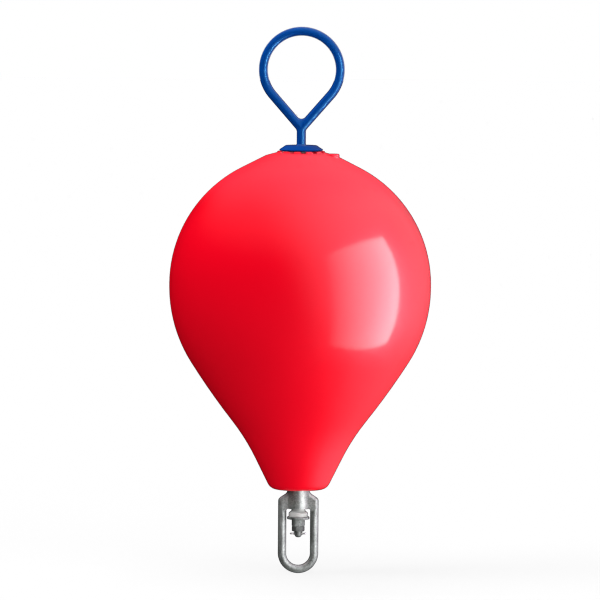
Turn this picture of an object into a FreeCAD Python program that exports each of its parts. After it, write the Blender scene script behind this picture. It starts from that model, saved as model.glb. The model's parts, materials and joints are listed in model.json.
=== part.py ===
"""Mooring buoy: a hollow inflated float on a galvanised iron with a pick-up ring above and a swivel link below.

Millimetres. +Z is up, along the iron. The origin is on the float's axis at its widest circle.
"""

import FreeCAD, Part
import Sketcher
import math
import os

Vector = FreeCAD.Vector
TOUCH = 1e-3  # two places nearer than this are the same

DIMENSIONS = [
    # float: a body of revolution, blow moulded with a tube down the middle
    ("float_radius", 260, "float at its widest circle, and the crown's arc above it"),
    ("waist_band", 5, "straight band where the mould halves meet"),
    ("float_wall", 5, "vinyl wall"),
    ("shoulder_slope", 27, "degrees: slope of the cone that ends the crown's arc"),
    ("pad_radius", 70, "outer edge of the flatter pad round the collar"),
    ("pad_slope", 15.5, "degrees: slope of that pad"),
    ("collar_radius", 47.5, "castellated collar under the flange"),
    ("collar_bore", 26, "inner radius of the collar's ring"),
    ("collar_rise", 2.6, "collar above the pad"),
    ("collar_round", 2.2, "rounded outer edge of the collar"),
    ("slot_depth", 3.2, "drain slots between the collar's ribs"),
    ("slot_width", 11, "width of a drain slot"),
    ("slot_count", 12, "number of drain slots"),
    ("slot_turn", 6, "degrees: first slot from the +X axis"),
    ("belly_radius", 281, "arc below the widest circle"),
    ("belly_angle", 32.5, "degrees turned by the belly's arc"),
    ("flank_radius", 1470, "long arc of the flank"),
    ("flank_angle", 38.1, "degrees from upright where the flank ends"),
    ("neck_radius", 427, "hollow arc into the neck"),
    ("neck_angle", 26.4, "degrees from upright of the neck's straight end"),
    ("foot_round", 20, "rounded lower edge"),
    ("float_depth", 406.5, "underside below the widest circle"),
    ("tube_radius", 10, "bore of the moulded centre tube"),
    ("tube_wall", 6, "wall of the centre tube"),
    ("mouth_chamfer", 3, "chamfer of the tube's lower mouth"),
    ("valve_reach", 65, "inflation valve from the axis"),
    ("valve_turn", -18, "degrees: valve from the +X axis"),
    ("valve_radius", 14, "boss of the inflation valve"),
    ("valve_rise", 4.5, "boss top above the pad's outer edge"),
    ("valve_sink", 14, "depth of the valve boss"),
    ("boss_round", 2.5, "rounded rim of the boss"),
    ("plug_radius", 6.5, "screw plug in the boss"),
    ("plug_depth", 6, "depth of the plug's seat"),
    ("plug_slot", 1.6, "width of the coin slot in the plug"),
    ("plug_cut", 1.5, "depth of the coin slot"),
    # iron: one 16 mm rod with a welded flange and a bent ring
    ("rod_radius", 8, "galvanised rod"),
    ("bar_radius", 8.7, "coated bar of the ring and its stem"),
    ("ring_radius", 76.4, "ring, to the middle of its bar"),
    ("ring_height", 150.4, "middle of the ring above the flange"),
    ("ring_angle", 41, "degrees of each straight leg from upright"),
    ("yoke_round", 10.5, "hollow blend between the legs and from the legs to the stem"),
    ("weld_leg", 2.5, "weld round the stem's foot"),
    ("flange_radius", 43.5, "flange that bears on the collar"),
    ("flange_rim", 2.6, "thickness of the flange's rim"),
    ("flange_top", 30.8, "radius of the flange's flat top"),
    ("flange_round", 1.1, "rounding of the rim's edges"),
    ("flange_ease", 2.5, "rounding round the flat top"),
    ("flange_height", 11, "thickness at the flat top"),
    ("tip_round", 6, "rounding of the rod's lower end"),
    ("rod_reach", 96.3, "rod's lower end below the float's underside"),
    ("seat_gap", 0.3, "between faces of the iron and of what turns on it"),
    ("slip", 0.1, "round clearance of nuts, washer and flange on the rod"),
    # swivel link and what holds it
    ("link_gap", 0.5, "between the float's underside and the link's hub"),
    ("hub_radius", 21.8, "hub of the forged link"),
    ("hub_height", 38.1, "hub and the shoulders beside it"),
    ("link_bar", 7.9, "radius of the link's bar"),
    ("link_gauge", 48.2, "clear width between the legs"),
    ("leg_length", 89.6, "legs from the hub's underside to the bend's middle"),
    ("neck_fall", 1.5, "hub's upright side above that arc"),
    ("neck_round", 10, "hollow arc from hub to shoulder"),
    ("shoulder_fall", 56, "degrees of the shoulder from upright"),
    ("shoulder_round", 8.6, "outer corner of the shoulder"),
    ("window_round", 4, "upper corners of the link's window"),
    ("edge_round", 7, "rounding along the shoulders' edges"),
    ("bush_radius", 13.4, "neck of the top-hat bushing"),
    ("bush_fit", 0.3, "round clearance of the bushing in the hub"),
    ("bush_grip", 20, "bushing's neck inside the hub"),
    ("bush_show", 4.6, "bushing's neck below the hub"),
    ("bush_flange", 18.8, "radius of the bushing's brim"),
    ("bush_brim", 8, "straight edge of the brim"),
    ("bush_slope", 4.5, "height of the cone above that edge"),
    ("brim_round", 1.4, "rounding of the brim's edges"),
    ("brim_cove", 2, "hollow blend from the brim to the neck"),
    ("washer_radius", 22, "flat washer"),
    ("washer_thickness", 4, "flat washer"),
    ("washer_round", 0.6, "rounding of its rim"),
    ("nut_flats", 24, "nuts across their flats"),
    ("nut_chamfer", 30, "degrees: corners turned off the nuts"),
    ("nut_height", 14.5, "full nut"),
    ("lock_height", 10, "lock nut"),
    ("lock_turn", 12, "degrees: lock nut's turn from the full nut"),
    ("pin_radius", 1.7, "split pin"),
    ("pin_drop", 5.2, "hole below the lock nut"),
    ("pin_reach", 9.5, "shank past the rod's middle, on each side"),
    ("wire_radius", 1.1, "wire of the pin's eye and ends"),
    ("eye_radius", 2.8, "eye of the split pin, to the middle of its wire"),
    ("prong_bend", 4, "bend of the pin's ends"),
    ("prong_angle", 70, "degrees that each end is spread"),
    ("prong_length", 4, "straight tip of each end"),
]

doc = FreeCAD.newDocument("MooringBuoy")
sheet = doc.addObject("Spreadsheet::Sheet", "Dims")
for row, (alias, size, meaning) in enumerate(DIMENSIONS, start=1):
    sheet.set(f"A{row}", alias.replace("_", " "))
    sheet.set(f"B{row}", str(size))
    sheet.setAlias(f"B{row}", alias)
    sheet.set(f"C{row}", meaning)
doc.recompute()


def value(expression):
    """The number that an expression on the sheet's dimensions gives."""
    result = sheet.evalExpression(expression)
    return float(getattr(result, "Value", result))


# heights, as expressions: the stack follows the float's own curves
CROWN_EDGE = "(Dims.waist_band / 2 + Dims.float_radius * cos(Dims.shoulder_slope))"
PAD_EDGE = (
    f"({CROWN_EDGE} + (Dims.float_radius * sin(Dims.shoulder_slope) - Dims.pad_radius)"
    " * tan(Dims.shoulder_slope))"
)
PAD_TOP = f"({PAD_EDGE} + (Dims.pad_radius - Dims.collar_radius) * tan(Dims.pad_slope))"
COLLAR_TOP = f"({PAD_TOP} + Dims.collar_rise)"
FLANGE_FOOT = f"({COLLAR_TOP} + Dims.seat_gap)"
FLANGE_FACE = f"({FLANGE_FOOT} + Dims.flange_height)"
HUB_TOP = "(-Dims.float_depth - Dims.link_gap)"
HUB_FOOT = f"({HUB_TOP} - Dims.hub_height)"
BUSH_FOOT = f"({HUB_FOOT} - Dims.bush_show - Dims.bush_brim - Dims.bush_slope)"
WASHER_FOOT = f"({BUSH_FOOT} - Dims.washer_thickness)"
NUT_FOOT = f"({WASHER_FOOT} - Dims.nut_height)"
LOCK_FOOT = f"({NUT_FOOT} - Dims.lock_height)"
PIN_LEVEL = f"({LOCK_FOOT} - Dims.pin_drop)"
ROD_TIP = "(-Dims.float_depth - Dims.rod_reach)"


def constrain(sketch, kind, *places, size=None):
    """Adds a constraint; with a size it is bound to that expression."""
    if size is None:
        sketch.addConstraint(Sketcher.Constraint(kind, *places))
        return
    amount = value(size)
    if kind == "Angle":
        amount = math.radians(amount)
    index = sketch.addConstraint(Sketcher.Constraint(kind, *places, amount))
    name = f"{kind}{index}"
    sketch.renameConstraint(index, name)
    unit = " * 1 deg" if kind == "Angle" else ""
    sketch.setExpression(f"Constraints.{name}", f"({size}){unit}")


class Outline:
    """A closed outline in a sketch, drawn edge by edge, each edge tied to the one before."""

    def __init__(self, sketch, x, y, heading=0.0):
        self.sketch = sketch
        self.start = (value(x), value(y))
        self.here = self.start
        self.start_sizes = (x, y)
        self.heading = math.radians(heading)
        self.edges = []

    def fix(self, kind, *places, size=None):
        constrain(self.sketch, kind, *places, size=size)

    def place(self, geometry, near, far, end, tangent):
        """Adds an edge that starts at its vertex `near` and ends at its vertex `far`."""
        edge = self.sketch.addGeometry(geometry, False)
        if self.edges:
            last, _, last_far = self.edges[-1]
            kind = "Tangent" if tangent else "Coincident"
            self.fix(kind, last, last_far, edge, near)
        self.edges.append((edge, near, far))
        self.here = end
        return edge

    def line(self, x, y, tangent=False):
        """A straight edge to a point given by numbers."""
        end = (x, y)
        self.heading = math.atan2(y - self.here[1], x - self.here[0])
        segment = Part.LineSegment(Vector(*self.here, 0), Vector(*end, 0))
        return self.place(segment, 1, 2, end, tangent)

    def across(self, x, height=None):
        """A level edge to x; with a height it leaves an arc smoothly and lies at that height."""
        edge = self.line(value(x), self.here[1], tangent=height is not None)
        self.fix("Horizontal", edge)
        self.fix("DistanceX", -1, 1, edge, 2, size=x)
        if height is not None:
            self.fix("DistanceY", -1, 1, edge, 2, size=height)

    def upright(self, y, reach=None):
        """An upright edge to y; with a reach it leaves an arc smoothly and lies at that x."""
        edge = self.line(self.here[0], value(y), tangent=reach is not None)
        self.fix("Vertical", edge)
        self.fix("DistanceY", -1, 1, edge, 2, size=y)
        if reach is not None:
            self.fix("DistanceX", -1, 1, edge, 2, size=reach)

    def slant(self, x, y, tangent=False):
        """A straight edge to a point given by two expressions."""
        edge = self.line(value(x), value(y), tangent)
        self.fix("DistanceX", -1, 1, edge, 2, size=x)
        self.fix("DistanceY", -1, 1, edge, 2, size=y)

    def run(self, length, tangent=True):
        """A straight edge along the heading, about so long, which its neighbours settle."""
        x = self.here[0] + length * math.cos(self.heading)
        y = self.here[1] + length * math.sin(self.heading)
        self.line(x, y, tangent)

    def bend(self, radius, turn, left=True, bound=True, tangent=True):
        """An arc of a given radius along the heading, turning left or right by degrees."""
        size = value(radius)
        angle = math.radians(value(turn)) * (1 if left else -1)
        side = math.pi / 2 if left else -math.pi / 2
        centre = Vector(
            self.here[0] + size * math.cos(self.heading + side),
            self.here[1] + size * math.sin(self.heading + side),
            0,
        )
        begin = self.heading - side
        finish = begin + angle
        low, high = min(begin, finish), max(begin, finish)
        arc = Part.ArcOfCircle(Part.Circle(centre, Vector(0, 0, 1), size), low, high)
        end = (centre.x + size * math.cos(finish), centre.y + size * math.sin(finish))
        near, far = (1, 2) if left else (2, 1)
        edge = self.place(arc, near, far, end, tangent)
        self.heading += angle
        self.fix("Radius", edge, size=radius)
        if bound:
            self.fix("Angle", edge, size=turn)

    def close(self, tangent=False):
        """Joins the last edge's end to the first edge's start and fixes that start."""
        first, near, _ = self.edges[0]
        last, _, far = self.edges[-1]
        self.fix("Tangent" if tangent else "Coincident", last, far, first, near)

    def anchor(self):
        """Fixes the outline's first point at its expressions, or on an axis where one is "0"."""
        first, near, _ = self.edges[0]
        for size, kind, axis in zip(self.start_sizes, ("DistanceX", "DistanceY"), (-2, -1)):
            if size == "0":
                self.fix("PointOnObject", first, near, axis)
            else:
                self.fix(kind, -1, 1, first, near, size=size)


def new_body(label):
    body = doc.addObject("PartDesign::Body", label)
    body.Label = label
    return body


def origin_feature(body, role):
    for feature in body.Origin.OriginFeatures:
        if feature.Role == role:
            return feature
    raise ValueError(role)


def new_sketch(body, name, plane, level=None):
    """A sketch on one of the body's own origin planes, raised along its normal by an expression."""
    sketch = body.newObject("Sketcher::SketchObject", name)
    sketch.AttachmentSupport = (origin_feature(body, plane), "")
    sketch.MapMode = "FlatFace"
    if level is not None:
        sketch.setExpression("AttachmentOffset.Base.z", level)
    return sketch


def circle(sketch, radius, x=None, y=None):
    """A circle bound to its radius, in the middle of the sketch or out along one of its axes."""
    centre = Vector(value(x) if x else 0, value(y) if y else 0, 0)
    edge = sketch.addGeometry(Part.Circle(centre, Vector(0, 0, 1), value(radius)), False)
    constrain(sketch, "Radius", edge, size=radius)
    if x:
        constrain(sketch, "PointOnObject", edge, 3, -1)
        constrain(sketch, "DistanceX", -1, 1, edge, 3, size=x)
    elif y:
        constrain(sketch, "PointOnObject", edge, 3, -2)
        constrain(sketch, "DistanceY", -1, 1, edge, 3, size=y)
    else:
        constrain(sketch, "Coincident", edge, 3, -1, 1)


def revolve(body, sketch, name="Turned"):
    turned = body.newObject("PartDesign::Revolution", name)
    turned.Profile = sketch
    turned.ReferenceAxis = (sketch, ["V_Axis"])
    turned.Angle = 360
    sketch.Visibility = False
    return turned


def pad(body, sketch, name, length, reverse=False, midplane=False):
    added = body.newObject("PartDesign::Pad", name)
    added.Profile = sketch
    added.Reversed = reverse
    if midplane:
        added.SideType = "Symmetric"
    added.setExpression("Length", length)
    return added


def pocket(body, sketch, name, length=None, reverse=False, midplane=False):
    cut = body.newObject("PartDesign::Pocket", name)
    cut.Profile = sketch
    cut.Reversed = reverse
    if midplane:
        cut.SideType = "Symmetric"
    if length is None:
        cut.Type = "ThroughAll"
    else:
        cut.setExpression("Length", length)
    return cut


def mirror(body, name, feature, plane):
    """Mirrors a feature in one of the body's own origin planes and joins the two."""
    doc.recompute()
    mirrored = body.newObject("PartDesign::Mirrored", name)
    mirrored.Originals = [feature]
    mirrored.MirrorPlane = (origin_feature(body, plane), [""])
    body.Tip = mirrored
    doc.recompute()
    return mirrored


def raise_to(body, level):
    body.setExpression("Placement.Base.z", level)


def round_edges(body, name, radius, wanted, feature="PartDesign::Fillet"):
    """Rounds or chamfers those edges of the body's last feature for which `wanted` is true."""
    base = body.Tip
    names = [f"Edge{i}" for i, edge in enumerate(base.Shape.Edges, start=1) if wanted(edge)]
    if not names:
        raise ValueError(f"{name} found no edge")
    rounded = body.newObject(feature, name)
    rounded.Base = (base, names)
    rounded.setExpression("Radius" if feature.endswith("Fillet") else "Size", radius)
    doc.recompute()
    return rounded


def is_circle(edge, radius, height=None):
    """True for a circular edge of a radius, at a height if one is given."""
    if not isinstance(edge.Curve, Part.Circle):
        return False
    if abs(edge.Curve.Radius - radius) > TOUCH:
        return False
    return height is None or abs(edge.Curve.Center.z - height) < TOUCH


def slope_to_crown(x, y, radius):
    """Numbers for the line from a point that touches the crown's circle: its length and heading."""
    across, up = value(x), value(y) - value("Dims.waist_band / 2")
    reach = math.hypot(across, up)
    length = math.sqrt(reach**2 - value(radius) ** 2)
    touch = math.atan2(up, across) - math.acos(value(radius) / reach)
    return length, math.degrees(touch) - 90


def draw_flanks(outline, inset, outset):
    """The float's side from its widest circle down to its underside, or the same a wall inside it."""
    outline.upright("-Dims.waist_band / 2")
    outline.bend(f"Dims.belly_radius{inset}", "Dims.belly_angle", left=False)
    outline.bend(f"Dims.flank_radius{inset}", "Dims.flank_angle - Dims.belly_angle", left=False)
    outline.bend(f"Dims.neck_radius{outset}", "Dims.flank_angle - Dims.neck_angle")
    lean = math.radians(value("Dims.neck_angle"))
    foot = value(f"-(Dims.float_depth{inset})")
    rounding = value(f"Dims.foot_round{inset}")
    drop = outline.here[1] - (foot + rounding * (1 - math.sin(lean)))
    outline.run(drop / math.cos(lean))
    outline.bend(f"Dims.foot_round{inset}", "90 - Dims.neck_angle", left=False, bound=False)


def draw_crown(outline, radius, pad_edge):
    """From the pad's outer edge out along the shoulder and the crown's arc to the widest circle."""
    outline.slant("Dims.pad_radius", pad_edge)
    length, heading = slope_to_crown("Dims.pad_radius", pad_edge, radius)
    outline.heading = math.radians(heading)
    outline.run(length, tangent=False)
    outline.bend(radius, str(90 + heading), left=False, bound=False)
    outline.close(tangent=True)
    outline.anchor()


# Float shell: vinyl, blown hollow in one piece with its centre tube, collar and valve boss.
shell = new_body("float_shell")
section = new_sketch(shell, "FloatSection", "XZ_Plane")
outer = Outline(section, "Dims.float_radius", "Dims.waist_band / 2", heading=-90)
draw_flanks(outer, "", "")
outer.across("Dims.tube_radius + Dims.mouth_chamfer", height="-Dims.float_depth")
outer.slant("Dims.tube_radius", "-Dims.float_depth + Dims.mouth_chamfer")
outer.upright(f"{COLLAR_TOP} - Dims.slot_depth")
outer.across("Dims.collar_bore")
outer.upright(COLLAR_TOP)
outer.across("Dims.collar_radius")
outer.upright(PAD_TOP)
draw_crown(outer, "Dims.float_radius", PAD_EDGE)
inside = Outline(section, "Dims.float_radius - Dims.float_wall", "Dims.waist_band / 2", heading=-90)
draw_flanks(inside, " - Dims.float_wall", " + Dims.float_wall")
inside.across("Dims.tube_radius + Dims.tube_wall", height="-Dims.float_depth + Dims.float_wall")
inside.upright(f"{PAD_TOP} - Dims.float_wall")
inside.across("Dims.collar_radius")
draw_crown(inside, "Dims.float_radius - Dims.float_wall", f"{PAD_EDGE} - Dims.float_wall")
revolve(shell, section)
doc.recompute()


def on_collar_rim(edge):
    return is_circle(edge, value("Dims.collar_radius"), value(COLLAR_TOP))


round_edges(shell, "CollarRound", "Dims.collar_round", on_collar_rim)

slot_sketch = new_sketch(shell, "DrainSlot", "XY_Plane", COLLAR_TOP)
slot_sketch.setExpression("AttachmentOffset.Rotation.Angle", "Dims.slot_turn * 1 deg")
slot = Outline(slot_sketch, "Dims.collar_bore - Dims.slot_depth", "-Dims.slot_width / 2")
slot.across("Dims.collar_radius + Dims.slot_depth")
slot.upright("Dims.slot_width / 2")
slot.across("Dims.collar_bore - Dims.slot_depth")
slot.line(*slot.start)
slot.close()
slot.anchor()
slot_cut = pocket(shell, slot_sketch, "DrainSlots", "Dims.slot_depth")
slots = shell.newObject("PartDesign::PolarPattern", "SlotRing")
slots.Originals = [slot_cut]
slots.Axis = (origin_feature(shell, "Z_Axis"), [""])
slots.Angle = 360
slots.setExpression("Occurrences", "Dims.slot_count")
shell.Tip = slots

VALVE_TOP = f"({PAD_EDGE} + Dims.valve_rise)"


def valve_sketch(name, radius):
    """A circle about the valve's own axis, which is upright, level with the boss's top."""
    sketch = new_sketch(shell, name, "XY_Plane", VALVE_TOP)
    sketch.setExpression("AttachmentOffset.Rotation.Angle", "Dims.valve_turn * 1 deg")
    circle(sketch, radius, x="Dims.valve_reach")
    return sketch


boss = pad(shell, valve_sketch("ValveBoss", "Dims.valve_radius"), "Boss", "Dims.valve_sink", reverse=True)
doc.recompute()


def on_valve_rim(edge):
    return is_circle(edge, value("Dims.valve_radius"), value(VALVE_TOP))


round_edges(shell, "BossRound", "Dims.boss_round", on_valve_rim)
pocket(shell, valve_sketch("PlugSeat", "Dims.plug_radius"), "PlugBore", "Dims.plug_depth")

# Valve plug: a coin-slotted screw plug, turned in flush with the boss.
plug = new_body("valve_plug")
plug_sketch = new_sketch(plug, "PlugCircle", "XY_Plane")
circle(plug_sketch, "Dims.plug_radius - Dims.slip")
pad(plug, plug_sketch, "PlugDisc", "Dims.plug_depth - Dims.seat_gap", reverse=True)
coin_sketch = new_sketch(plug, "CoinSlot", "XY_Plane")
coin = Outline(coin_sketch, "-Dims.plug_radius", "-Dims.plug_slot / 2")
coin.across("Dims.plug_radius")
coin.upright("Dims.plug_slot / 2")
coin.across("-Dims.plug_radius")
coin.line(*coin.start)
coin.close()
coin.anchor()
pocket(plug, coin_sketch, "CoinCut", "Dims.plug_cut")
plug.setExpression("Placement.Base.x", "Dims.valve_reach * cos(Dims.valve_turn)")
plug.setExpression("Placement.Base.y", "Dims.valve_reach * sin(Dims.valve_turn)")
raise_to(plug, VALVE_TOP)

# Pick-up ring: one bar bent to a ring whose straight legs meet in a stem, nylon coated.
# Its origin is the stem's foot. Half the bend is swept and mirrored, so that the legs join cleanly.
ring = new_body("pickup_ring")
SEAM_OUTWARD = FreeCAD.Rotation(Vector(0, 0, 1), -90)
YOKE = "(Dims.ring_height - Dims.ring_radius / sin(Dims.ring_angle))"
path_sketch = new_sketch(ring, "RingPath", "XZ_Plane")
path = Outline(path_sketch, "0", YOKE, heading=90 - value("Dims.ring_angle"))
path.run(value("Dims.ring_radius / tan(Dims.ring_angle)"))
path.bend("Dims.ring_radius", "90 + Dims.ring_angle", bound=False)
path.anchor()
bow = path.edges[1][0]
path.fix("PointOnObject", bow, 3, -2)
path.fix("DistanceY", -1, 1, bow, 3, size="Dims.ring_height")
path.fix("PointOnObject", bow, 2, -2)
bar_sketch = ring.newObject("Sketcher::SketchObject", "BarSection")
bar_sketch.AttachmentSupport = (path_sketch, "Edge1")
bar_sketch.MapMode = "NormalToEdge"
bar_sketch.AttachmentOffset = FreeCAD.Placement(Vector(), SEAM_OUTWARD)
circle(bar_sketch, "Dims.bar_radius")
doc.recompute()
bar = ring.newObject("PartDesign::AdditivePipe", "HalfRing")
bar.Profile = bar_sketch
bar.Spine = (path_sketch, [])
mirror(ring, "WholeRing", bar, "YZ_Plane")
stem_sketch = new_sketch(ring, "StemSection", "XY_Plane")
circle(stem_sketch, "Dims.bar_radius")
pad(ring, stem_sketch, "Stem", YOKE)
weld_sketch = new_sketch(ring, "WeldSection", "XZ_Plane")
weld = Outline(weld_sketch, "0", "0")
weld.across("Dims.bar_radius + Dims.weld_leg")
weld.slant("Dims.bar_radius", "Dims.weld_leg")
weld.across("0")
weld.line(*weld.start)
weld.close()
weld.anchor()
revolve(ring, weld_sketch, "StemWeld")
doc.recompute()


def in_yoke(edge):
    """True for the seams where the legs meet each other, and where they run into the stem."""
    box = edge.BoundBox
    between_legs = box.XLength < TOUCH and value(YOKE) - TOUCH < box.ZMin < value("Dims.ring_height")
    above_weld = box.ZMin > value("Dims.weld_leg") + TOUCH and box.XLength > TOUCH
    return between_legs or (above_weld and box.ZMax < value(YOKE) + TOUCH)


round_edges(ring, "YokeBlend", "Dims.yoke_round", in_yoke)
raise_to(ring, FLANGE_FACE)

# Flange: a turned disc welded to the rod, coated with the ring; it bears on the collar's ribs.
flange = new_body("top_flange")
flange_sketch = new_sketch(flange, "FlangeSection", "XZ_Plane")
disc = Outline(flange_sketch, "Dims.rod_radius + Dims.slip", "0")
disc.across("Dims.flange_radius")
disc.upright("Dims.flange_rim")
disc.slant("Dims.flange_top", "Dims.flange_height")
disc.across("Dims.rod_radius + Dims.slip")
disc.line(*disc.start)
disc.close()
disc.anchor()
revolve(flange, flange_sketch)
doc.recompute()
round_edges(flange, "RimRound", "Dims.flange_round", lambda edge: is_circle(edge, value("Dims.flange_radius")))
round_edges(flange, "TopEase", "Dims.flange_ease", lambda edge: is_circle(edge, value("Dims.flange_top")))
raise_to(flange, FLANGE_FOOT)

# Rod: hot-dip galvanised, from the flange's face down through float, link and nuts.
rod = new_body("centre_rod")
rod_sketch = new_sketch(rod, "RodSection", "XY_Plane")
circle(rod_sketch, "Dims.rod_radius")
pad(rod, rod_sketch, "Shank", f"{FLANGE_FACE} - {ROD_TIP}")
doc.recompute()
round_edges(rod, "TipRound", "Dims.tip_round", lambda edge: is_circle(edge, value("Dims.rod_radius"), 0))
hole_sketch = new_sketch(rod, "PinHole", "YZ_Plane")
circle(hole_sketch, "Dims.pin_radius + Dims.seat_gap", y=f"{PIN_LEVEL} - {ROD_TIP}")
pocket(rod, hole_sketch, "PinBore", "4 * Dims.rod_radius", midplane=True)
rod.setExpression("Placement.Base.z", ROD_TIP)

# Bushing: a top hat of pale nylon; its neck stands in the hub and its brim rests on the washer.
bushing = new_body("swivel_bushing")
bush_sketch = new_sketch(bushing, "BushingSection", "XZ_Plane")
hat = Outline(bush_sketch, "Dims.rod_radius + Dims.slip", "0")
hat.across("Dims.bush_flange")
hat.upright("Dims.bush_brim")
hat.slant("Dims.bush_radius", "Dims.bush_brim + Dims.bush_slope")
hat.upright("Dims.bush_brim + Dims.bush_slope + Dims.bush_show + Dims.bush_grip")
hat.across("Dims.rod_radius + Dims.slip")
hat.line(*hat.start)
hat.close()
hat.anchor()
revolve(bushing, bush_sketch)
doc.recompute()


def in_cove(edge):
    return is_circle(edge, value("Dims.bush_radius"), value("Dims.bush_brim + Dims.bush_slope"))


round_edges(bushing, "BrimRound", "Dims.brim_round", lambda edge: is_circle(edge, value("Dims.bush_flange")))
round_edges(bushing, "BrimCove", "Dims.brim_cove", in_cove)
raise_to(bushing, BUSH_FOOT)

# Washer: plain round, under the bushing.
washer = new_body("flat_washer")
washer_sketch = new_sketch(washer, "WasherSection", "XY_Plane")
circle(washer_sketch, "Dims.washer_radius")
circle(washer_sketch, "Dims.rod_radius + Dims.slip")
pad(washer, washer_sketch, "Plate", "Dims.washer_thickness")
doc.recompute()
round_edges(washer, "RimRound", "Dims.washer_round", lambda edge: is_circle(edge, value("Dims.washer_radius")))
raise_to(washer, WASHER_FOOT)


def hex_nut(label, height, level):
    """A hexagon nut whose corners are turned off on both faces."""
    nut = new_body(label)
    sketch = new_sketch(nut, f"{label}_hexagon", "XY_Plane")
    corner = value("Dims.nut_flats") / math.sqrt(3)
    points = [
        Vector(corner * math.cos(math.radians(60 * i)), corner * math.sin(math.radians(60 * i)), 0)
        for i in range(6)
    ]
    rim = sketch.addGeometry(Part.Circle(Vector(), Vector(0, 0, 1), corner), True)
    constrain(sketch, "Coincident", rim, 3, -1, 1)
    sides = [
        sketch.addGeometry(Part.LineSegment(points[i], points[(i + 1) % 6]), False)
        for i in range(6)
    ]
    for i, side in enumerate(sides):
        constrain(sketch, "Coincident", side, 2, sides[(i + 1) % 6], 1)
        constrain(sketch, "PointOnObject", side, 1, rim)
        if i:
            constrain(sketch, "Equal", side, sides[0])
    constrain(sketch, "PointOnObject", sides[0], 1, -1)
    constrain(sketch, "Radius", rim, size="Dims.nut_flats / sqrt(3)")
    pad(nut, sketch, f"{label}_blank", height)
    turned = new_sketch(nut, f"{label}_chamfers", "XZ_Plane")
    edge_reach = "Dims.nut_flats / sqrt(3) + Dims.slip"
    drop = f"({edge_reach} - Dims.nut_flats / 2) * tan(Dims.nut_chamfer)"
    for foot, top in ((f"{drop}", "0"), (f"{height} - {drop}", height)):
        trim = Outline(turned, "Dims.nut_flats / 2", top)
        trim.across(edge_reach)
        trim.upright(foot)
        trim.line(*trim.start)
        trim.close()
        trim.anchor()
    groove = nut.newObject("PartDesign::Groove", f"{label}_turning")
    groove.Profile = turned
    groove.ReferenceAxis = (turned, ["V_Axis"])
    groove.Angle = 360
    bore_sketch = new_sketch(nut, f"{label}_bore", "XY_Plane")
    circle(bore_sketch, "Dims.rod_radius + Dims.slip")
    pocket(nut, bore_sketch, f"{label}_thread", height, reverse=True)
    raise_to(nut, level)
    return nut


# Nuts: a full nut, and a thinner one that locks it.
hex_nut("hex_nut", "Dims.nut_height", NUT_FOOT)
lock_nut = hex_nut("lock_nut", "Dims.lock_height", LOCK_FOOT)
lock_nut.setExpression("Placement.Rotation.Angle", "Dims.lock_turn * 1 deg")

# Split pin: half-round wire doubled to an eye, its two ends spread round the rod.
pin = new_body("split_pin")
shank_sketch = new_sketch(pin, "PinShank", "YZ_Plane")
circle(shank_sketch, "Dims.pin_radius")
pad(pin, shank_sketch, "PinLegs", "2 * Dims.pin_reach", midplane=True)
eye_sketch = new_sketch(pin, "PinEye", "XZ_Plane")
eye_sketch.setExpression("AttachmentOffset.Base.x", "-Dims.pin_reach - Dims.eye_radius")
circle(eye_sketch, "Dims.wire_radius", x="Dims.eye_radius")
revolve(pin, eye_sketch, "Eye")
prong_path = new_sketch(pin, "ProngPath", "XY_Plane")
prong = Outline(prong_path, "Dims.pin_reach", "0")
prong.bend("Dims.prong_bend", "Dims.prong_angle", tangent=False)
prong.run(value("Dims.prong_length"))
prong.fix("Distance", prong.edges[1][0], size="Dims.prong_length")
prong.fix("Vertical", prong.edges[0][0], 3, prong.edges[0][0], 1)
prong.anchor()
prong_section = new_sketch(pin, "ProngSection", "YZ_Plane", "Dims.pin_reach")
circle(prong_section, "Dims.wire_radius")
doc.recompute()
spread = pin.newObject("PartDesign::AdditivePipe", "Prong")
spread.Profile = prong_section
spread.Spine = (prong_path, [])
mirror(pin, "Prongs", spread, "XZ_Plane")
raise_to(pin, PIN_LEVEL)

# Swivel link: a drop forging, hub and bail in one, galvanised; it turns on the bushing.
link = new_body("swivel_link")
OUTSIDE = "(Dims.link_gauge / 2 + 2 * Dims.link_bar)"
half_sketch = new_sketch(link, "ShoulderOutline", "XZ_Plane")
half = Outline(half_sketch, "0", "0")
half.across("Dims.hub_radius")
half.upright("-Dims.neck_fall")
half.bend("Dims.neck_round", "Dims.shoulder_fall")
fall = math.radians(value("Dims.shoulder_fall"))
corner_start = value(f"{OUTSIDE} - Dims.shoulder_round * (1 - cos(Dims.shoulder_fall))")
half.run((corner_start - half.here[0]) / math.sin(fall))
half.bend("Dims.shoulder_round", "Dims.shoulder_fall", left=False, bound=False)
half.upright("-Dims.hub_height - Dims.window_round", reach=OUTSIDE)
half.across("Dims.link_gauge / 2")
half.heading = math.radians(90)
half.bend("Dims.window_round", "90", bound=False, tangent=False)
half.line(0, half.here[1], tangent=True)
half.line(*half.start)
half.close()
half.anchor()
corner, underside, middle = (edge for edge, _, _ in half.edges[-3:])
half.fix("Horizontal", corner, 3, corner, 1)
half.fix("Horizontal", underside)
half.fix("Vertical", middle)
web_pad = pad(link, half_sketch, "Shoulder", "2 * Dims.link_bar", midplane=True)
mirror(link, "BothShoulders", web_pad, "YZ_Plane")


def on_shoulder_edge(edge):
    """True for the front and back edges of the shoulders, outside the hub."""
    box = edge.BoundBox
    thick = value("Dims.link_bar")
    flat = box.YMax - box.YMin < 1e-3 and abs(abs(box.YMax) - thick) < 1e-3
    inner = value("Dims.hub_radius")
    beside = box.XMin > inner - 1e-3 or box.XMax < -inner + 1e-3
    level = abs(box.ZMax - box.ZMin) < 1e-3
    return flat and beside and not level


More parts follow.
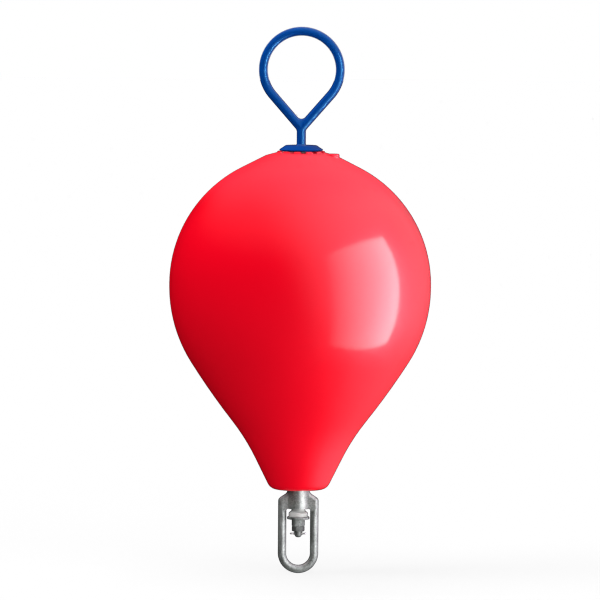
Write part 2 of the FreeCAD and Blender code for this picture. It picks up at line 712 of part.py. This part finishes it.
round_edges(link, "ForgedEdges", "Dims.edge_round", on_shoulder_edge)
hub_sketch = new_sketch(link, "HubSection", "XY_Plane")
circle(hub_sketch, "Dims.hub_radius")
pad(link, hub_sketch, "Hub", "Dims.hub_height", reverse=True)
LEG_X = "(Dims.link_gauge / 2 + Dims.link_bar)"
bail_sketch = new_sketch(link, "BailPath", "XZ_Plane")
bail = Outline(bail_sketch, f"-{LEG_X}", "-Dims.hub_height", heading=-90)
bail.upright("-Dims.hub_height - Dims.leg_length")
bail.bend(LEG_X, "180", bound=False)
bail.run(value("Dims.leg_length"))
bail.fix("Vertical", bail.edges[-1][0])
bail.fix("DistanceY", -1, 1, bail.edges[-1][0], 2, size="-Dims.hub_height")
bail.anchor()
wire_sketch = link.newObject("Sketcher::SketchObject", "BarOfBail")
wire_sketch.AttachmentSupport = (bail_sketch, "Edge1")
wire_sketch.MapMode = "NormalToEdge"
circle(wire_sketch, "Dims.link_bar")
doc.recompute()
pipe = link.newObject("PartDesign::AdditivePipe", "Bail")
pipe.Profile = wire_sketch
pipe.Spine = (bail_sketch, [])
bore_sketch = new_sketch(link, "RodBore", "XY_Plane")
circle(bore_sketch, "Dims.rod_radius + Dims.bush_fit")
pocket(link, bore_sketch, "RodPassage", "Dims.hub_height")
seat_sketch = new_sketch(link, "BushingSeat", "XY_Plane", "-Dims.hub_height")
circle(seat_sketch, "Dims.bush_radius + Dims.bush_fit")
pocket(link, seat_sketch, "Counterbore", "Dims.bush_grip + Dims.seat_gap", reverse=True)
raise_to(link, HUB_TOP)

doc.recompute()

bodies = doc.findObjects("PartDesign::Body")
for item in doc.Objects:
    if {"Invalid", "Error"} & set(item.State):
        raise RuntimeError(f"{item.Name} failed: {item.State}")
for body in bodies:
    if body.Shape.isNull() or not body.Shape.isValid() or len(body.Shape.Solids) != 1:
        raise RuntimeError(f"{body.Label} has no sound solid")

os.makedirs("parts", exist_ok=True)
for body in bodies:
    body.Shape.exportStep(f"parts/{body.Label}.step")
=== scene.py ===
"""Mooring buoy: the finish of a red vinyl float, its coated pick-up ring and its galvanised swivel link."""

import json
import math

import bmesh
import bpy
from mathutils import Matrix, Vector

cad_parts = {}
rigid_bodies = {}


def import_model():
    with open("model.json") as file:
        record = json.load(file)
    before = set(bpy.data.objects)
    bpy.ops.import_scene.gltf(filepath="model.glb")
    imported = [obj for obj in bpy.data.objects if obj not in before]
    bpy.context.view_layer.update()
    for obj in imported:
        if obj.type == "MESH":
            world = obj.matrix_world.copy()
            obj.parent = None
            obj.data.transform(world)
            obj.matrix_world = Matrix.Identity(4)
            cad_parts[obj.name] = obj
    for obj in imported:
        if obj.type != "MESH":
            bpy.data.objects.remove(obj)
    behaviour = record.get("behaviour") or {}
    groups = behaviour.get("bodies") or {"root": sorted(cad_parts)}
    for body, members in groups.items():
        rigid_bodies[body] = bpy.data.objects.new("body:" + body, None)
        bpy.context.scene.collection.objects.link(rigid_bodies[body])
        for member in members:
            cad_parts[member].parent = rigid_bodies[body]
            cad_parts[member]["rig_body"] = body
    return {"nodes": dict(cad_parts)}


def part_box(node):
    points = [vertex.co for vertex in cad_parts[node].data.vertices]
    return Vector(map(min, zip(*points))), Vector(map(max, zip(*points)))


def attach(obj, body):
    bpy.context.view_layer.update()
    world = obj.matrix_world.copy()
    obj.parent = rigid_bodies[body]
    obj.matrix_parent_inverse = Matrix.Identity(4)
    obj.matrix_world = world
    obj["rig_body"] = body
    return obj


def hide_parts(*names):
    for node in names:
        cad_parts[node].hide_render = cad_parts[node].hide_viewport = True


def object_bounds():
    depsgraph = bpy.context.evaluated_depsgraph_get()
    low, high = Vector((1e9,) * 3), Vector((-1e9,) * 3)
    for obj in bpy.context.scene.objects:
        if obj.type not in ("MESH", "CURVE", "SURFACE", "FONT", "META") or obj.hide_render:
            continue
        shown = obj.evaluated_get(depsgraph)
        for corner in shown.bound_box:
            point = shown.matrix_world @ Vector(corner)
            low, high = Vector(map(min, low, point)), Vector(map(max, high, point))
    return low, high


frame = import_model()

cad_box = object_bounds()
nodes = frame["nodes"]

# ---------------------------------------------------------------------------------------------
# Float. A hollow float of soft, glossy vinyl, moulded in one piece with its centre tube and its
# castellated collar, and blown up hard through the valve.
# ---------------------------------------------------------------------------------------------


class Value:
    """A value inside a finish; arithmetic between values adds the Math nodes."""

    def __init__(self, finish, socket):
        self.finish = finish
        self.socket = socket

    def math(self, operation, *others):
        names = ("Value", "Value_001", "Value_002")
        sockets = dict(zip(names, (self, *others)))
        return self.finish.add("ShaderNodeMath", sockets, operation=operation)

    def flipped(self, operation, other):
        sockets = {"Value": other, "Value_001": self}
        return self.finish.add("ShaderNodeMath", sockets, operation=operation)

    def __add__(self, other):
        return self.math("ADD", other)

    def __radd__(self, other):
        return self.flipped("ADD", other)

    def __sub__(self, other):
        return self.math("SUBTRACT", other)

    def __rsub__(self, other):
        return self.flipped("SUBTRACT", other)

    def __mul__(self, other):
        return self.math("MULTIPLY", other)

    def __rmul__(self, other):
        return self.flipped("MULTIPLY", other)

    def clamp(self):
        return self.finish.add("ShaderNodeClamp", {"Value": self})


class Finish:
    """A material under way: its nodes, and its one Principled shader."""

    def __init__(self, name, **constants):
        self.material = bpy.data.materials.new(name)
        self.material.use_nodes = True
        self.tree = self.material.node_tree
        self.shader = self.tree.nodes["Principled BSDF"]
        self.place = self.add("ShaderNodeTexCoord", pick="Object")
        for socket, value in constants.items():
            self.set(socket.replace("_", " "), value)

    def fill(self, socket, value):
        if isinstance(value, Value):
            self.tree.links.new(value.socket, socket)
        else:
            socket.default_value = value

    def set(self, name, value):
        """Sets a socket of the Principled shader to a constant or a value."""
        self.fill(self.shader.inputs[name], value)

    def add(self, kind, sockets=None, pick=None, **settings):
        """Adds a node with its settings and sockets, and gives the output picked, or its first."""
        node = self.tree.nodes.new(kind)
        for setting, value in settings.items():
            setattr(node, setting, value)
        for name, value in (sockets or {}).items():
            self.fill(next(s for s in node.inputs if s.identifier == name), value)
        outputs = [s for s in node.outputs if s.enabled]
        return Value(self, next(s for s in outputs if pick in (None, s.name)))

    def noise(self, scale, detail=3.0, roughness=0.5, stretch=None):
        """Cloudy noise from 0 to 1 over the piece, as many times a metre, stretched along an axis."""
        place = self.place
        if stretch:
            place = self.add("ShaderNodeMapping", {"Vector": place, "Scale": stretch})
        sockets = {"Vector": place, "Scale": scale, "Detail": detail, "Roughness": roughness}
        return self.add("ShaderNodeTexNoise", sockets)

    def mix(self, share, first, second):
        """A colour between two, by a share from 0 to 1."""
        first, second = ((*c, 1.0) if isinstance(c, tuple) else c for c in (first, second))
        sockets = {"Factor_Float": share, "A_Color": first, "B_Color": second}
        return self.add("ShaderNodeMix", sockets, data_type="RGBA")

    def bump(self, height, distance, strength=1.0, normal=None):
        sockets = {"Height": height, "Distance": distance, "Strength": strength}
        if normal:
            sockets["Normal"] = normal
        return self.add("ShaderNodeBump", sockets)


def piece_of(name, mesh, finish, node, sharp=28.0):
    """A finished piece from its mesh, which rides with a CAD node's body."""
    for face in mesh.faces:
        face.smooth = True
    for edge in mesh.edges:
        edge.smooth = edge.calc_face_angle(0) < math.radians(sharp)
    data = bpy.data.meshes.new(name)
    mesh.to_mesh(data)
    mesh.free()
    data.materials.append(finish.material)
    piece = bpy.data.objects.new(name, data)
    bpy.context.collection.objects.link(piece)
    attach(piece, nodes[node]["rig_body"])
    return piece


def skin_of(node, mesh, finish):
    """A finished piece that takes the place of a CAD node."""
    piece = piece_of(f"{node}_skin", mesh, finish, node)
    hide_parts(node)
    return piece


def copy_of(name):
    """The mesh of a CAD node as one closed skin of flat faces."""
    mesh = bmesh.new()
    mesh.from_mesh(nodes[name].data)
    bmesh.ops.remove_doubles(mesh, verts=mesh.verts, dist=1e-6)
    bmesh.ops.dissolve_limit(mesh, angle_limit=math.radians(0.3), verts=mesh.verts, edges=mesh.edges)
    return mesh


def soften(mesh, width, sharp=28.0):
    """Rounds the edges of a mesh that are sharper than an angle."""
    corners = [e for e in mesh.edges if e.calc_face_angle(0) > math.radians(sharp)]
    bmesh.ops.bevel(
        mesh, geom=corners, offset=width, affect="EDGES", segments=2, profile=0.5, material=-1,
        clamp_overlap=True,
    )


vinyl = Finish("float_vinyl", Specular_IOR_Level=0.40, Coat_Roughness=0.12)
vinyl.set("Specular Tint", (1.0, 0.66, 0.92, 1.0))
cloud = vinyl.noise(5.0, 4.0)
scuff = (vinyl.noise(34.0, 6.0, 0.65) * 4.0 - 2.35).clamp()
height = vinyl.add("ShaderNodeSeparateXYZ", {"Vector": vinyl.place}, pick="Z")
# A mask that rises towards the crown. It roughens the crown and thins its coat where it is rubbed, and it
# mixes in painted sheen.
crown = {"Value": height + cloud * 0.03, "From Min": 0.165, "From Max": 0.235}
crown_rub_and_sheen = vinyl.add("ShaderNodeMapRange", crown, interpolation_type="SMOOTHSTEP")
red = vinyl.mix(cloud, (0.77, 0.0009, 0.0112), (0.84, 0.0011, 0.0132))
# Towards the crown the red is mixed to a paler pink: painted sheen for the overhead gloss.
vinyl.set("Base Color", vinyl.mix(crown_rub_and_sheen * (0.15 + cloud * 0.35), red, (0.84, 0.042, 0.075)))
vinyl.set("Roughness", 0.38 + cloud * 0.06 + scuff * 0.12 + crown_rub_and_sheen * 0.12)
vinyl.set("Coat Weight", 0.45 - crown_rub_and_sheen * 0.24)
ripple = vinyl.bump(vinyl.noise(9.0, 1.0), 0.0006)
vinyl.set("Normal", vinyl.bump(vinyl.noise(900.0, 2.0), 0.00002, 0.5, ripple))

float_skin = skin_of("float_shell", copy_of("float_shell"), vinyl)

# ---------------------------------------------------------------------------------------------
# Valve plug. A screw plug of hard red plastic in the moulded valve boss beside the collar. It
# has a slot across its head for a coin.
# ---------------------------------------------------------------------------------------------
hard_red = Finish("valve_plastic", Specular_IOR_Level=0.5)
patchy = hard_red.noise(60.0)
hard_red.set("Base Color", hard_red.mix(patchy, (0.60, 0.0015, 0.010), (0.70, 0.002, 0.014)))
hard_red.set("Roughness", 0.32 + hard_red.noise(300.0) * 0.1)
hard_red.set("Normal", hard_red.bump(hard_red.noise(1500.0), 0.00002))

plug = copy_of("valve_plug")
soften(plug, 0.0004)
skin_of("valve_plug", plug, hard_red)

# ---------------------------------------------------------------------------------------------
# Pick-up ring. A steel bar bent to a ring with both ends welded onto a short stem, then dipped
# in blue plastic that rounds every corner and fills the yoke.
# ---------------------------------------------------------------------------------------------


def coated(name, gloss):
    """Dipped plastic: a smooth skin that sagged a little as it set, with a few rubbed patches."""
    coat = Finish(name, Specular_IOR_Level=gloss)
    coat.set("Specular Tint", (0.14, 0.60, 1.0, 1.0))
    thick = coat.noise(28.0, 4.0)
    coat.set("Base Color", coat.mix(thick, (0.0004, 0.039, 0.218), (0.0010, 0.050, 0.27)))
    worn = (coat.noise(55.0, 6.0, 0.7) * 6.0 - 3.6).clamp()
    coat.set("Roughness", 0.13 + thick * 0.08 + worn * 0.15)
    sag = coat.bump(coat.noise(45.0, 2.0), 0.0006)
    coat.set("Normal", coat.bump(coat.noise(700.0, 2.0), 0.00005, 0.6, sag))
    return coat


ring_coating = coated("ring_coating", 0.42)
ring_skin = skin_of("pickup_ring", copy_of("pickup_ring"), ring_coating)

# ---------------------------------------------------------------------------------------------
# Top flange. A turned steel disc on the stem that holds the float down by its collar. It is
# dipped in the same blue plastic, duller here, and its rim rolls under.
# ---------------------------------------------------------------------------------------------
RIM_HEIGHT = 0.0034
RIM_INSIDE = 0.04
ROLLED_UNDER = 0.09

flange = copy_of("top_flange")
flange_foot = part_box("top_flange")[0].z
for vertex in flange.verts:
    under = 1.0 - (vertex.co.z - flange_foot) / RIM_HEIGHT
    if under > 0.0 and vertex.co.xy.length > RIM_INSIDE:
        vertex.co.xy *= 1.0 - ROLLED_UNDER * under**2
skin_of("top_flange", flange, coated("flange_coating", 0.02))

# ---------------------------------------------------------------------------------------------
# Centre rod. A round steel rod through the float's tube, threaded at its foot and dipped in hot
# zinc. The thread shows below the lock nut, where the zinc half fills its first turn.
# ---------------------------------------------------------------------------------------------
PITCH = 0.0020
ROOT = 0.0069
THREAD_START = 0.0035
THREAD_FADE = 0.8
STEPS_A_TURN = 48
CORE_SHARE = 0.87
CUT_INSIDE_NUT = 0.001
PAINTED_SHADE_ABOVE = 0.20


def galvanised(name, dull, bright, matt, metal=0.55, shade_above=None):
    """Hot dip zinc, mottled grey and duller where it ran thick; near black above a height, which is painted
    shade.
    """
    zinc = Finish(name, Metallic=metal, Specular_IOR_Level=0.5)
    flake = zinc.add("ShaderNodeTexVoronoi", {"Vector": zinc.place, "Scale": 330.0}, pick="Distance")
    run = zinc.noise(70.0, 6.0, 0.65, (1.0, 1.0, 0.4))
    speck = zinc.noise(420.0, 3.0, 0.6)
    tone = (run * 2.6 + speck * 2.0 + flake * 0.5 - 2.0).clamp()
    colour = zinc.mix(tone, dull, bright)
    # Above a height the colour goes near black and the metal dull: painted shade, where the rod sits in the
    # float's tube and shows through the collar's notches.
    if shade_above:
        height = zinc.add("ShaderNodeSeparateXYZ", {"Vector": zinc.place}, pick="Z")
        shade_rise = {"Value": height, "From Min": shade_above, "From Max": shade_above + 0.01}
        painted_shade = zinc.add("ShaderNodeMapRange", shade_rise)
        colour = zinc.mix(painted_shade, colour, (0.012, 0.003, 0.003))
        zinc.set("Metallic", metal - painted_shade * metal)
    zinc.set("Base Color", colour)
    zinc.set("Roughness", matt + run * 0.16 - flake * 0.08)
    skin = zinc.bump(zinc.noise(150.0, 5.0, 0.65), 0.0006)
    zinc.set("Normal", zinc.bump(speck, 0.00015, 0.7, skin))
    return zinc


# The rod's upper part, inside the float's tube, gets painted shade.
rod_zinc = galvanised(
    "rod_zinc", (0.07, 0.075, 0.072), (0.24, 0.258, 0.247), 0.36, shade_above=PAINTED_SHADE_ABOVE
)
low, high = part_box("centre_rod")
lock_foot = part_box("lock_nut")[0].z
rod = copy_of("centre_rod")
bmesh.ops.bisect_plane(
    rod, geom=rod.verts[:] + rod.edges[:] + rod.faces[:], plane_co=(0, 0, lock_foot + CUT_INSIDE_NUT),
    plane_no=(0, 0, 1),
)
threaded = [v for v in rod.verts if v.co.z < lock_foot + CUT_INSIDE_NUT / 2]
bmesh.ops.scale(rod, verts=threaded, vec=(CORE_SHARE, CORE_SHARE, 1))
skin_of("centre_rod", rod, rod_zinc)

thread = bmesh.new()
start = low.z + THREAD_START
crest = high.x - 0.0001
sunk = ROOT - 0.0002
profile = ((sunk, 0.0), (ROOT, 0.1), (crest, 0.42), (crest, 0.58), (ROOT, 0.9), (sunk, 1.0))
corners = [thread.verts.new((reach, 0, start + rise * PITCH)) for reach, rise in profile]
for one, other in zip(corners, corners[1:]):
    thread.edges.new((one, other))
turns = math.floor((lock_foot - start) / PITCH)
bmesh.ops.spin(
    thread, geom=thread.verts[:] + thread.edges[:], cent=(0, 0, 0), axis=(0, 0, 1),
    dvec=(0, 0, PITCH / STEPS_A_TURN), angle=math.tau * turns, steps=STEPS_A_TURN * turns,
    use_merge=False,
)
for vertex in thread.verts:
    faded = (ROOT - 0.0006 + (vertex.co.z - start) * THREAD_FADE) / vertex.co.xy.length
    vertex.co.xy *= min(1.0, faded)
bmesh.ops.recalc_face_normals(thread, faces=thread.faces)
piece_of("rod_thread", thread, rod_zinc, "centre_rod", sharp=50)

# ---------------------------------------------------------------------------------------------
# Swivel link. A drop forging in one piece, hub and closed bail, galvanised; it turns on its
# bushing round the centre rod.
# ---------------------------------------------------------------------------------------------
forged_zinc = galvanised("forged_zinc", (0.12, 0.130, 0.124), (0.36, 0.388, 0.371), 0.33)
skin_of("swivel_link", copy_of("swivel_link"), forged_zinc)

# ---------------------------------------------------------------------------------------------
# Bushing. A top-hat sleeve of white nylon, pressed into the hub from below, that the link turns
# on; its brim carries the load.
# ---------------------------------------------------------------------------------------------
nylon = Finish("bushing_nylon", Specular_IOR_Level=0.5)
nylon.set("Base Color", nylon.mix(nylon.noise(80.0), (0.44, 0.445, 0.435), (0.54, 0.545, 0.535)))
nylon.set("Roughness", 0.42 + nylon.noise(160.0) * 0.12)
turned = nylon.noise(900.0, 1.0, 0.5, (0.05, 0.05, 1.0))
nylon.set("Normal", nylon.bump(turned, 0.00006))
bushing = copy_of("swivel_bushing")
soften(bushing, 0.0005)
skin_of("swivel_bushing", bushing, nylon)

# ---------------------------------------------------------------------------------------------
# Washer and nuts. A flat washer under the bushing, a full nut and a thin lock nut turned a
# little from it. All are galvanised steel, chamfered, and the lock nut is the darkest.
# ---------------------------------------------------------------------------------------------
WASHER_EDGE = 0.0004
NUT_CHAMFER = 0.0012
NUT_SHARE = 0.91

nut_zinc = galvanised("nut_zinc", (0.07, 0.075, 0.072), (0.33, 0.355, 0.34), 0.32, 0.5)
lock_zinc = galvanised("lock_zinc", (0.045, 0.048, 0.046), (0.11, 0.118, 0.113), 0.42, 0.4)
washer = copy_of("flat_washer")
soften(washer, WASHER_EDGE)
skin_of("flat_washer", washer, nut_zinc)
for name, zinc in (("hex_nut", nut_zinc), ("lock_nut", lock_zinc)):
    nut = copy_of(name)
    bmesh.ops.scale(nut, verts=nut.verts, vec=(NUT_SHARE, NUT_SHARE, 1))
    soften(nut, NUT_CHAMFER)
    skin_of(name, nut, zinc)

# ---------------------------------------------------------------------------------------------
# Split pin. Zinc-plated steel wire doubled on itself and pushed through the rod below the nuts,
# with its legs bent apart.
# ---------------------------------------------------------------------------------------------
wire = Finish("pin_wire", Metallic=0.55)
wire.set("Base Color", wire.mix(wire.noise(300.0), (0.66, 0.66, 0.65), (0.80, 0.80, 0.79)))
wire.set("Roughness", 0.25 + wire.noise(700.0) * 0.15)
wire.set("Normal", wire.bump(wire.noise(900.0, 2.0, 0.5, (0.1, 1.0, 1.0)), 0.00005))
skin_of("split_pin", copy_of("split_pin"), wire)

# ---------------------------------------------------------------------------------------------
# Studio floor and room. A pale floor just below the link, which only the camera sees as pale,
# and a room that is white to the eye. In the gloss it is bright on the right and overhead.
# ---------------------------------------------------------------------------------------------
FLOOR_GAP = 0.0005
FLOOR_SIZE = 30.0
BRIGHT_SIDE = Vector((0.90, 0.0, 0.42)).normalized()

floor = bpy.data.objects.new("floor", bpy.data.meshes.new("floor"))
sheet = bmesh.new()
bmesh.ops.create_grid(sheet, x_segments=1, y_segments=1, size=FLOOR_SIZE)
bmesh.ops.translate(sheet, verts=sheet.verts, vec=(0, 0, cad_box[0].z - FLOOR_GAP))
sheet.to_mesh(floor.data)
sheet.free()
bpy.context.collection.objects.link(floor)
floor.is_shadow_catcher = True
floor.visible_shadow = False
floor.visible_glossy = False
paper = Finish("floor_paper", Roughness=1.0, Specular_IOR_Level=0.0)
looked_at = paper.add("ShaderNodeLightPath", pick="Is Camera Ray")
paper.set("Base Color", paper.mix(looked_at, (0.01, 0.01, 0.01), (0.8, 0.8, 0.8)))
floor.data.materials.append(paper.material)


class Glow(Finish):
    """The nodes of a lamp or of the world, with its one Emission or Background shader."""

    def __init__(self, owner, shader):
        owner.use_nodes = True
        self.tree = owner.node_tree
        self.shader = self.tree.nodes[shader]


world = bpy.data.worlds.new("studio")
bpy.context.scene.world = world
world.cycles.sampling_method = "NONE"
room = Glow(world, "Background")
seen = room.add("ShaderNodeLightPath", pick="Is Camera Ray")
mirrored = room.add("ShaderNodeLightPath", pick="Is Glossy Ray")
through = room.add("ShaderNodeLightPath", pick="Is Transmission Ray")
towards = room.add("ShaderNodeTexCoord", pick="Generated")
room.set("Color", room.mix(mirrored, (1.0, 1.0, 1.0), (1.0, 0.89, 1.0)))

vectors = {"Vector": towards, "Vector_001": BRIGHT_SIDE}
side = room.add("ShaderNodeVectorMath", vectors, pick="Value", operation="DOT_PRODUCT")
rise = {"Value": side, "From Min": -0.2, "From Max": 0.9}
open_side = room.add("ShaderNodeMapRange", rise, interpolation_type="SMOOTHSTEP")
behind = room.add("ShaderNodeSeparateXYZ", {"Vector": towards}, pick="Y").clamp()
upward = room.add("ShaderNodeSeparateXYZ", {"Vector": towards}, pick="Z")
rise = {"Value": upward, "From Min": 0.3}
overhead = room.add("ShaderNodeMapRange", rise, interpolation_type="SMOOTHSTEP")
reflected = open_side * (2.15 - 1.7 * behind) + overhead * 0.75
room.set("Strength", seen + through + mirrored * reflected)

# ---------------------------------------------------------------------------------------------
# Studio lamps. Soft lamps all round and one below the floor light the buoy and don't show in its
# gloss; one more lights the floor alone. Tall windows low on the right show in the gloss alone.
# ---------------------------------------------------------------------------------------------
WINDOW_ROLL = math.radians(6.0)
WINDOW_HEIGHT = 1.7


def area_light(name, place, size, power, aim=Vector((0, 0, 0))):
    """A soft square lamp aimed at a point, which the gloss doesn't show."""
    light = bpy.data.lights.new(name, "AREA")
    light.size = size
    light.energy = power
    light.cycles.use_multiple_importance_sampling = False
    lamp = bpy.data.objects.new(name, light)
    lamp.location = place
    lamp.rotation_euler = (aim - lamp.location).to_track_quat("-Z", "Y").to_euler()
    lamp.visible_glossy = False
    bpy.context.collection.objects.link(lamp)
    return lamp


area_light("key_light", (0.9, -3.2, 2.2), 3.0, 47)
area_light("left_light", (-3.3, -0.9, 1.5), 2.4, 116)
area_light("top_light", (-0.6, 0.0, 3.0), 3.0, 84)
area_light("floor_light", (1.0, -0.9, -1.9), 3.0, 64)
area_light("back_light", (-0.6, 3.4, 0.9), 3.0, 60)
area_light("side_light", (2.7, -1.9, 0.1), 3.2, 88)

wash = area_light("floor_wash", (0.0, 0.0, 3.0), 4.0, 900)
wash.data.use_shadow = False
wash.light_linking.receiver_collection = bpy.data.collections.new("floor_only")
wash.light_linking.receiver_collection.objects.link(floor)


def window_light(name, place, outward, width, power, pieces, state="INCLUDE"):
    """A tall window that shows in the gloss of some pieces alone, or of all but them."""
    place = Vector(place)
    lamp = area_light(name, place, width, power, place - Vector(outward))
    lamp.data.shape = "RECTANGLE"
    lamp.data.size_y = WINDOW_HEIGHT
    lamp.data.cycles.use_multiple_importance_sampling = True
    lamp.rotation_euler.rotate_axis("Z", WINDOW_ROLL)
    lamp.visible_glossy = True
    lamp.visible_diffuse = False
    lamp.visible_camera = False
    shown_in = bpy.data.collections.new(f"{name}_shown_in")
    lamp.light_linking.receiver_collection = shown_in
    for piece in pieces:
        shown_in.objects.link(piece)
    for entry in shown_in.collection_objects:
        entry.light_linking.link_state = state
    return lamp


wide = window_light(
    "float_window", (0.96, -0.60, -0.13), (0.799, -0.602, 0.0), 1.5, 57, (float_skin,)
)
pane = Glow(wide.data, "Emission")
across = pane.add("ShaderNodeNewGeometry", pick="Parametric")
across = pane.add("ShaderNodeSeparateXYZ", {"Vector": across}, pick="X")
pane.set("Strength", across * 2.0)

window_light(
    "dim_window", (0.74, -0.88, -0.20), (0.64, -0.77, 0.0), 1.2, 16, (float_skin,), "EXCLUDE"
)
window_light("ring_window", (0.93, -0.73, -0.10), (0.79, -0.61, 0.0), 0.12, 33, (ring_skin,))
window_light(
    "iron_window", (0.93, -0.73, -0.45), (0.79, -0.61, 0.0), 0.12, 2.8,
    (float_skin, ring_skin), "EXCLUDE",
)
float_skin.visible_glossy = False
ring_skin.visible_glossy = False

# ---------------------------------------------------------------------------------------------
# Camera. A long lens far away and a little above the buoy's middle, turned by half a degree,
# because the buoy stands a little out of plumb.
# ---------------------------------------------------------------------------------------------
CAMERA_FAR = 13.0
CAMERA_LIFT = math.radians(3.8)
CAMERA_ROLL = math.radians(0.46)
TARGET = Vector((0.0, 0.0, -0.029))

camera_data = bpy.data.cameras.new("camera")
camera_data.lens = 392
camera_data.sensor_width = 36
camera_data.clip_end = 100
camera = bpy.data.objects.new("camera", camera_data)
bpy.context.collection.objects.link(camera)
direction = Vector((0, -math.cos(CAMERA_LIFT), math.sin(CAMERA_LIFT)))
camera.location = TARGET + direction * CAMERA_FAR
turn = (-direction).to_track_quat("-Z", "Y")
camera.rotation_mode = "QUATERNION"
camera.rotation_quaternion = turn @ Matrix.Rotation(CAMERA_ROLL, 3, "Z").to_quaternion()
bpy.context.scene.camera = camera
bpy.context.scene.view_settings.view_transform = "Standard"
